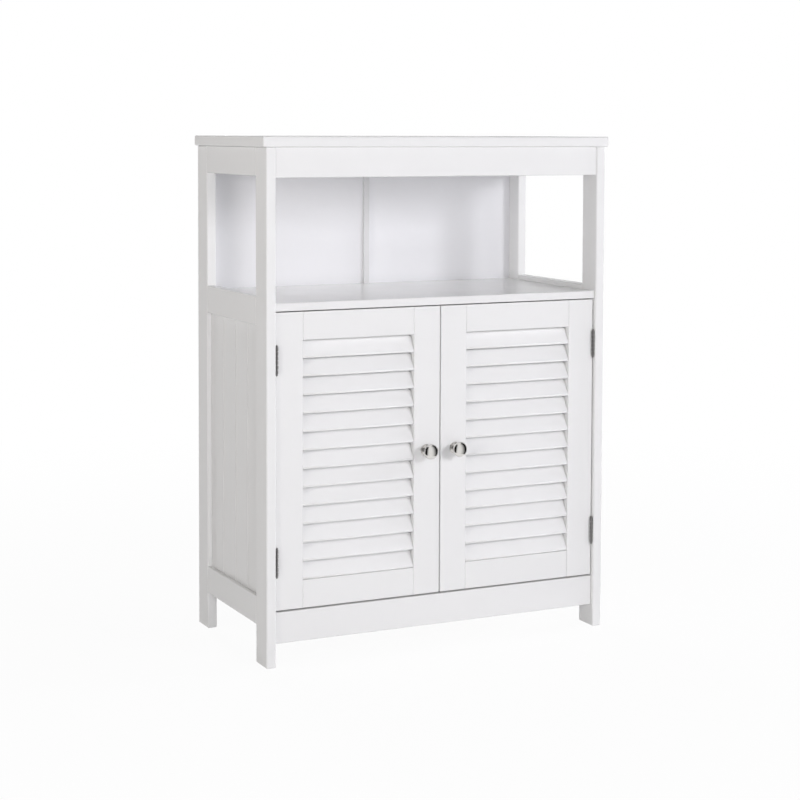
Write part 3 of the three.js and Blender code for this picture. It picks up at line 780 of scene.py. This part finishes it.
def knuckle(start, end):
    """A short tube round the pin with softened ends."""
    edge = KNUCKLE_EDGE
    outer = KNUCKLE_RADIUS
    profile = [(KNUCKLE_BORE, start)]
    profile += arc((outer - edge, start + edge), (edge, edge), DOWN, OUT, KNUCKLE_EDGE_STEPS)
    profile += arc((outer - edge, end - edge), (edge, edge), OUT, UP, KNUCKLE_EDGE_STEPS)
    profile += [(KNUCKLE_BORE, end), (KNUCKLE_BORE, start)]
    return lathe(profile, HINGE_STEPS)


def leaf_plate(first):
    """The leaf in z and y: tongues that reach the knuckles, and a plate with two round corners."""
    half = KNUCKLE_RUN / 2
    outline = []
    for start, end in knuckle_spans(first):
        outline += [(start, LEAF_CLEAR), (start, 0), (end, 0), (end, LEAF_CLEAR)]
    if outline[0][0] > -half + KNUCKLE_GAP:
        outline.insert(0, (-half, LEAF_CLEAR))
    if outline[-1][0] < half - KNUCKLE_GAP:
        outline.append((half, LEAF_CLEAR))
    inset = LEAF_DEPTH - LEAF_CORNER
    for across, start, end in ((half - LEAF_CORNER, OUT, UP), (LEAF_CORNER - half, UP, IN)):
        outline += arc((across, inset), (LEAF_CORNER, LEAF_CORNER), start, end, LEAF_CORNER_STEPS)
    bm = plate(outline, LEAF_THICKNESS)
    bevel(bm, list(bm.edges), LEAF_EDGE, LEAF_EDGE_STEPS)
    return bm


def hinge_leaf(near, first):
    """A leaf about its own axis, with its plate from near outwards."""
    bm = place(leaf_plate(first), Matrix.Translation((near, 0, 0)) @ LEAF_STAND)
    for span in knuckle_spans(first):
        merge_into(bm, knuckle(*span))
    return bm


def leaf_screws(face, to_leg):
    """Three countersunk screws, flush with the face of a leaf that turns to the other leaf."""
    bm = bmesh.new()
    turn = turned(-to_leg * QUARTER_TURN, "Y")
    sunk = face + to_leg * HINGE_SCREW_SINK
    for height, depth in HINGE_SCREWS:
        head = flat_head(HINGE_SCREW_RADIUS, HINGE_SCREW_CROWN)
        merge_into(bm, place(head, Matrix.Translation((sunk, depth, height)) @ turn))
    return bm


def pin_profile(half, tip):
    """Half of a pin's outline, from its middle up over a collar and an acorn shaped finial."""
    long = tip - half
    rim = COLLAR_RADIUS - COLLAR_EDGE
    points = [(PIN_RADIUS, 0), (PIN_RADIUS, half), (rim, half)]
    points += arc((rim, half + long * COLLAR_PLACE), (COLLAR_EDGE, long * COLLAR_REACH), *COLLAR_SWEEP)
    points += arc((0, half + long * ACORN_PLACE), (FINIAL_RADIUS, long * ACORN_REACH), *ACORN_SWEEP)
    points += arc((0, tip - FINIAL_TIP), (FINIAL_TIP * TIP_FLARE, FINIAL_TIP), *TIP_SWEEP)
    points[-1] = (0, tip)
    return points


def make_hinge(place_name, side):
    """The pin and both leaves of one hinge, round the middle of its pin."""
    pin_node = f"hinge_pin_{place_name}_{side}"
    low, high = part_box(pin_node)
    middle = (low + high) / 2
    upper = pin_profile(KNUCKLE_RUN / 2, (high.z - low.z) / 2)
    lower = [(radius, -height) for radius, height in reversed(upper[1:])]
    at_pin = Matrix.Translation(middle)
    pin = place(lathe(lower + upper[1:], HINGE_STEPS), at_pin)
    new_piece(f"pin_with_finials_{place_name}_{side}", pin, "hinge_metal", "carcass", [pin_node])
    axis = abs(middle.x)
    at_right_pin = Matrix.Translation((axis, middle.y, middle.z))
    leg_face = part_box("leg_front_right")[0].x - axis - LEAF_THICKNESS
    door_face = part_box("right_door_hinge_stile_with_louvres")[1].x - axis + LEAF_PROUD
    leaves = (
        ("leg", "carcass", 1, 1, leg_face, leg_face),
        ("door", f"{side}_door", 0, -1, door_face - LEAF_THICKNESS, door_face),
    )
    for part, body, first, to_leg, near, face in leaves:
        node = f"hinge_{part}_leaf_{place_name}_{side}"
        leaf = mirror_to(place(hinge_leaf(near, first), at_right_pin), side)
        new_piece(f"leaf_on_{part}_{place_name}_{side}", leaf, "hinge_metal", body, [node])
        screws = mirror_to(place(leaf_screws(face, to_leg), at_right_pin), side)
        new_piece(f"screws_in_{part}_leaf_{place_name}_{side}", screws, "hinge_metal", body)


def make_fittings():
    for side in SIDES:
        make_louvres(side)
        make_knob(side)
        make_knob_screw(side)
        make_strike_screw(side)
        for level in LEVELS:
            make_hinge(level, side)


# Camera, light and floor

def make_camera():
    """Looks back and a little down, turned to the right, with the picture's middle below its axis."""
    ahead = Vector((
        math.sin(CAMERA_YAW) * math.cos(CAMERA_PITCH),
        math.cos(CAMERA_YAW) * math.cos(CAMERA_PITCH),
        -math.sin(CAMERA_PITCH),
    ))
    right = Vector((math.cos(CAMERA_YAW), -math.sin(CAMERA_YAW), 0))
    up = right.cross(ahead)
    rolled_right = math.cos(CAMERA_ROLL) * right + math.sin(CAMERA_ROLL) * up
    rolled_up = math.cos(CAMERA_ROLL) * up - math.sin(CAMERA_ROLL) * right
    turn = Matrix((rolled_right, rolled_up, -ahead)).transposed().to_4x4()
    data = bpy.data.cameras.new("camera")
    data.sensor_width = CAMERA_SENSOR
    data.lens = CAMERA_LENS
    data.shift_y = CAMERA_SHIFT_Y
    camera = bpy.data.objects.new("camera", data)
    bpy.context.scene.collection.objects.link(camera)
    top = centre_of("top_board")
    spot = Vector((top.x + CAMERA_FROM_TOP.x, top.y + CAMERA_FROM_TOP.y, CAMERA_HEIGHT))
    camera.matrix_world = Matrix.Translation(spot) @ turn
    bpy.context.scene.camera = camera


def seen_rays(tree):
    """1 for what the camera, a mirror or glass sees, and 0 for the light that the world gives."""
    path = add_node(tree, "ShaderNodeLightPath").outputs
    seen = math_node(tree, "MAXIMUM", path["Is Camera Ray"], path["Is Glossy Ray"])
    return math_node(tree, "MAXIMUM", seen, path["Is Transmission Ray"])


def make_world():
    """A plain soft sky for light, which is white where it is seen."""
    world = bpy.data.worlds.new("studio")
    world.use_nodes = True
    tree = world.node_tree
    tree.nodes.clear()
    light = add_node(tree, "ShaderNodeBackground", {"Color": SKY_COLOUR, "Strength": SKY_STRENGTH})
    seen = add_node(tree, "ShaderNodeBackground", {"Color": WHITE, "Strength": 1.0})
    both = add_node(
        tree, "ShaderNodeMixShader", {0: seen_rays(tree), 1: light.outputs[0], 2: seen.outputs[0]}
    )
    add_node(tree, "ShaderNodeOutputWorld", {"Surface": both.outputs[0]})
    bpy.context.scene.world = world


def make_lamp(name, spec):
    """A soft square lamp, turned to the cabinet's middle. Reflections show the white room instead."""
    data = bpy.data.lights.new(name, "AREA")
    data.shape = "SQUARE"
    data.size = spec["side"]
    data.energy = spec["power"]
    data.color = spec["tint"]
    lamp = bpy.data.objects.new(name, data)
    bpy.context.scene.collection.objects.link(lamp)
    turn = turned(math.radians(spec["turn"]), "Z")
    rise = turned(math.radians(-spec["rise"]), "X")
    away = turn @ rise @ Vector((0, -spec["away"], 0))
    lamp.location = LAMP_AIM + away
    lamp.rotation_euler = away.to_track_quat("Z", "Y").to_euler()
    lamp.visible_glossy = False


def card_material(name, spec):
    """Black in the card's middle and white at its sides, by the direction from the front."""
    material = bpy.data.materials.new(name)
    material.use_nodes = True
    tree = material.node_tree
    tree.nodes.clear()
    spot = add_node(tree, "ShaderNodeTexCoord").outputs["Object"]
    parts = add_node(tree, "ShaderNodeSeparateXYZ", {0: spot}).outputs
    front = math_node(tree, "SUBTRACT", 0.0, parts["Y"])
    turn = math_node(tree, "ARCTAN2", parts["X"], front)
    away = math_node(tree, "ABSOLUTE", math_node(tree, "SUBTRACT", turn, math.radians(spec["middle"])))
    black, reach = math.radians(spec["black"]), math.radians(spec["reach"])
    fade = {"Value": away, "From Min": black, "From Max": reach}
    settings = {"clamp": True, "interpolation_type": "SMOOTHSTEP"}
    glow = add_node(tree, "ShaderNodeMapRange", fade, **settings).outputs["Result"]
    shade = add_node(tree, "ShaderNodeCombineXYZ", {"X": glow, "Y": glow, "Z": glow}).outputs[0]
    light = add_node(tree, "ShaderNodeEmission", {"Color": shade, "Strength": 1.0})
    add_node(tree, "ShaderNodeOutputMaterial", {"Surface": light.outputs[0]})
    return material


def make_card(name, spec):
    """A card that curves round the cabinet. Polished metal shows it, and nothing else does."""
    bm = bmesh.new()
    first = spec["middle"] - spec["reach"]
    sweep = 2 * spec["reach"]
    steps = math.ceil(sweep / CARD_STEP)
    rows = []
    for step in range(steps + 1):
        turn = turned(math.radians(first + sweep * step / steps), "Z")
        rows.append([bm.verts.new(turn @ Vector((0, -away, height))) for away, height in CARD_SECTION])
    for row, following in zip(rows, rows[1:]):
        for index in range(len(CARD_SECTION) - 1):
            bm.faces.new((row[index], row[index + 1], following[index + 1], following[index]))
    mesh = bpy.data.meshes.new(name)
    bm.to_mesh(mesh)
    bm.free()
    mesh.materials.append(card_material(name, spec))
    card = bpy.data.objects.new(name, mesh)
    bpy.context.scene.collection.objects.link(card)
    card.visible_camera = False
    card.visible_diffuse = False
    card.visible_transmission = False
    card.visible_shadow = False


def floor_material():
    """White where it is seen, but for a share near the object that keeps its shadow."""
    material = bpy.data.materials.new("studio floor")
    material.use_nodes = True
    tree = material.node_tree
    tree.nodes.clear()
    bounce = add_node(tree, "ShaderNodeBsdfDiffuse", {"Color": FLOOR_BOUNCE_COLOUR})
    matt = add_node(tree, "ShaderNodeBsdfDiffuse", {"Color": FLOOR_SEEN_COLOUR})
    white = add_node(tree, "ShaderNodeEmission", {"Color": WHITE, "Strength": 1.0})
    where = add_node(tree, "ShaderNodeTexCoord").outputs["Object"]
    away = add_node(tree, "ShaderNodeVectorMath", {0: where}, operation="LENGTH").outputs["Value"]
    near, far = FLOOR_SHADOW_REACH
    spread = {"Value": away, "From Min": near, "From Max": far, "To Min": FLOOR_WHITE_SHARE}
    white_share = add_node(tree, "ShaderNodeMapRange", spread, clamp=True).outputs["Result"]
    seen = add_node(
        tree, "ShaderNodeMixShader", {0: white_share, 1: matt.outputs[0], 2: white.outputs[0]}
    )
    both = add_node(
        tree, "ShaderNodeMixShader", {0: seen_rays(tree), 1: bounce.outputs[0], 2: seen.outputs[0]}
    )
    add_node(tree, "ShaderNodeOutputMaterial", {"Surface": both.outputs[0]})
    return material


def make_floor():
    bm = bmesh.new()
    bmesh.ops.create_grid(bm, x_segments=1, y_segments=1, size=FLOOR_REACH)
    mesh = bpy.data.meshes.new("floor")
    bm.to_mesh(mesh)
    bm.free()
    mesh.materials.append(floor_material())
    floor = bpy.data.objects.new("floor", mesh)
    bpy.context.scene.collection.objects.link(floor)


make_camera()
make_world()
for lamp_name, lamp_spec in LAMPS.items():
    make_lamp(lamp_name, lamp_spec)
make_floor()
for card_name, card_spec in CARDS.items():
    make_card(card_name, card_spec)
finish_solids()
make_fittings()
bpy.context.scene.view_settings.view_transform = "Standard"
